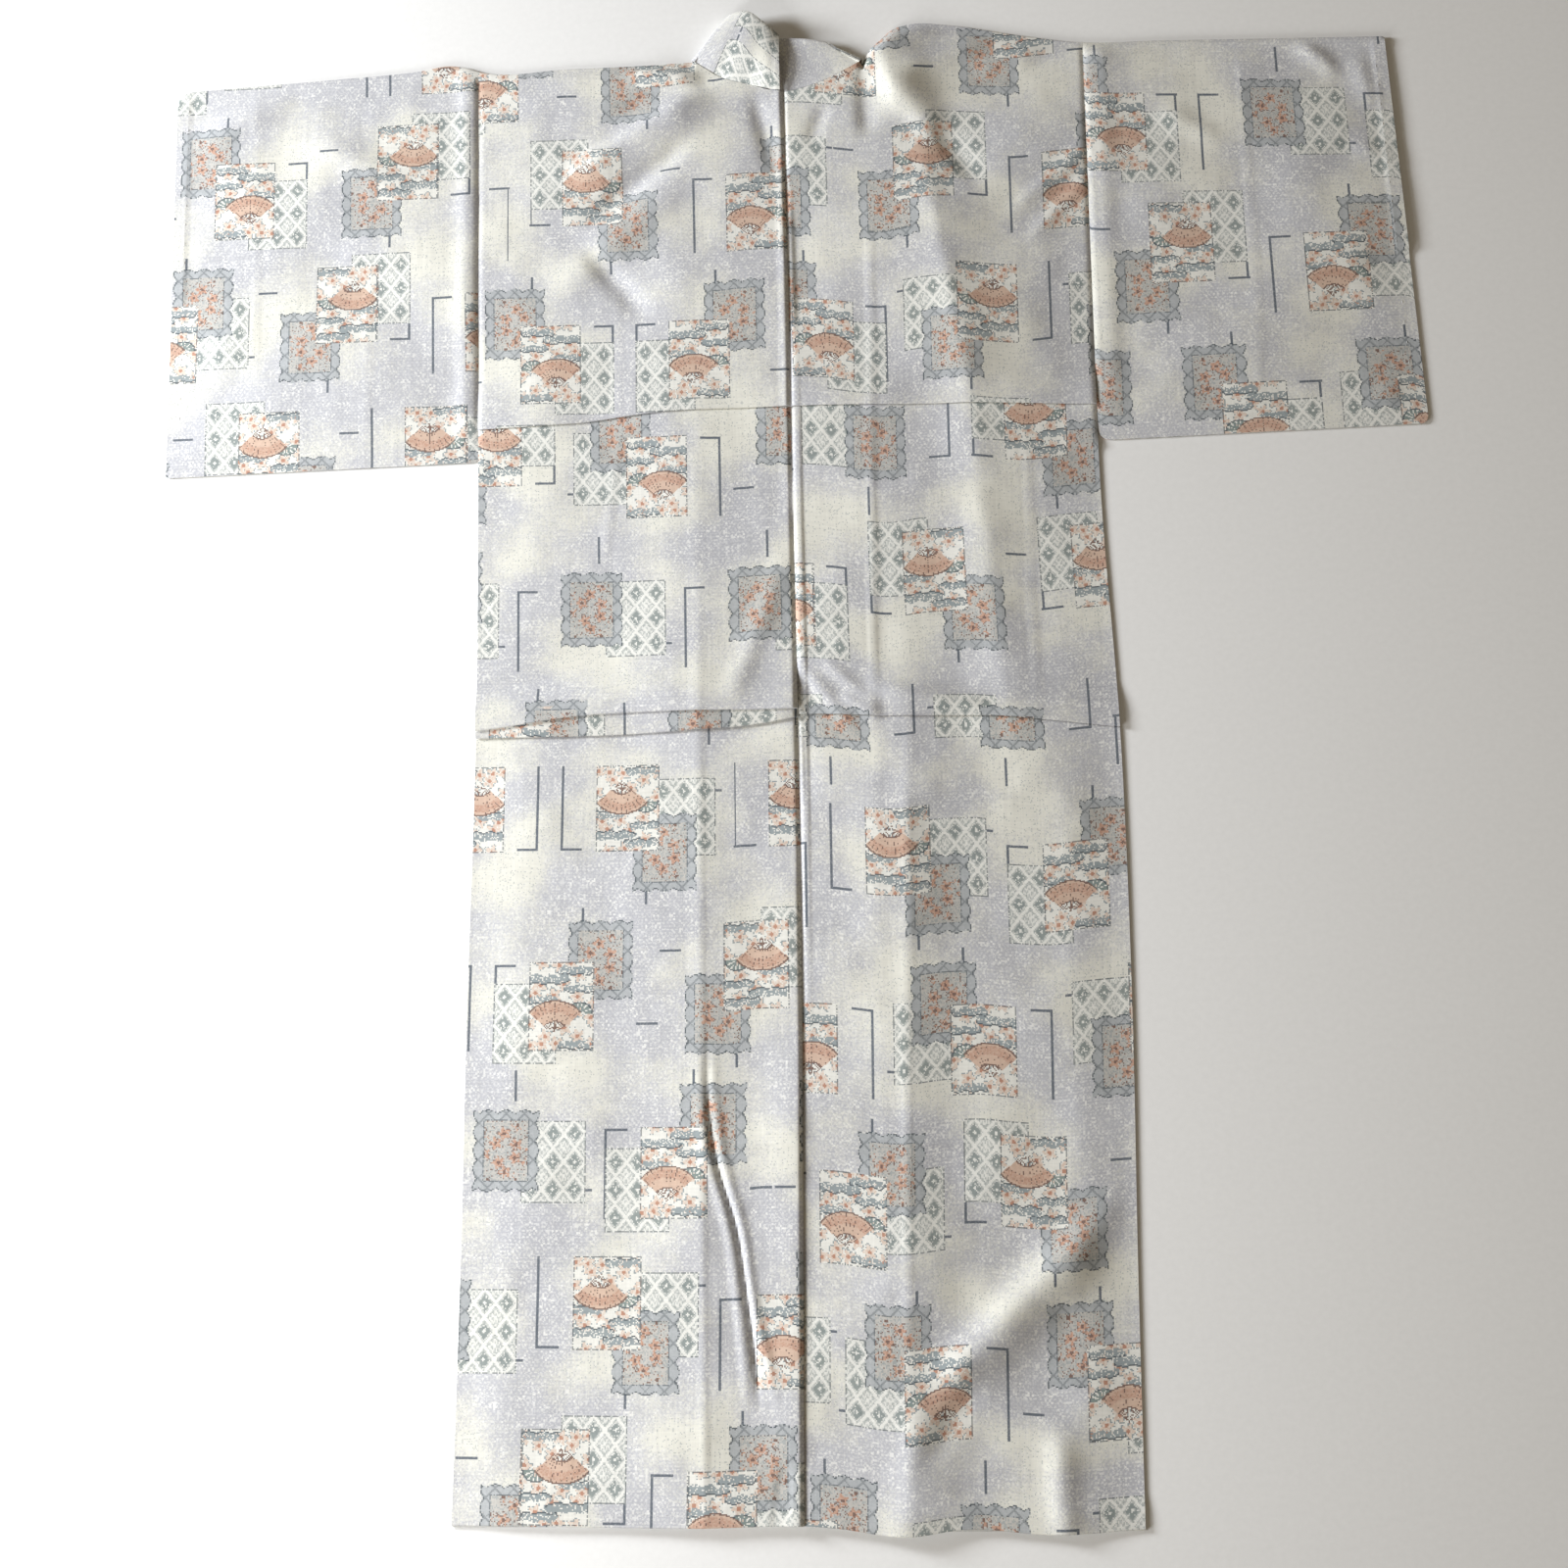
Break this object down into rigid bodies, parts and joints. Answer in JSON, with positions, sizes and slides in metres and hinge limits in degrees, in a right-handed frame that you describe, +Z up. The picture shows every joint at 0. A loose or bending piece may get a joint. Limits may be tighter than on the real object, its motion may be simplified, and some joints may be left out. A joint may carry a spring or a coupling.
{
  "type": "yukata",
  "caption": "Straight-cut cotton robe laid flat with its back up, with tucks across the back, wide short sleeves, crossed fronts beneath and a folded collar at the neck.",
  "frame": {"origin": "centre of the laid-out robe's outline, on the surface it lies on", "axes": "+X from the wearer's left to the wearer's right, +Y from hem to collar, +Z up, out of the robe's back"},
  "size_m": [1.2535, 1.4895, 0.018],
  "materials": {
    "printed_cotton": "matte plain-weave cotton, printed"
  },
  "bodies": {
    "root": {"body_left": "printed_cotton", "body_right": "printed_cotton", "overlap_left": "printed_cotton", "overlap_right": "printed_cotton", "collar_left": "printed_cotton", "collar_right": "printed_cotton", "sleeve_left": "printed_cotton", "sleeve_right": "printed_cotton"}
  },
  "joints": []
}
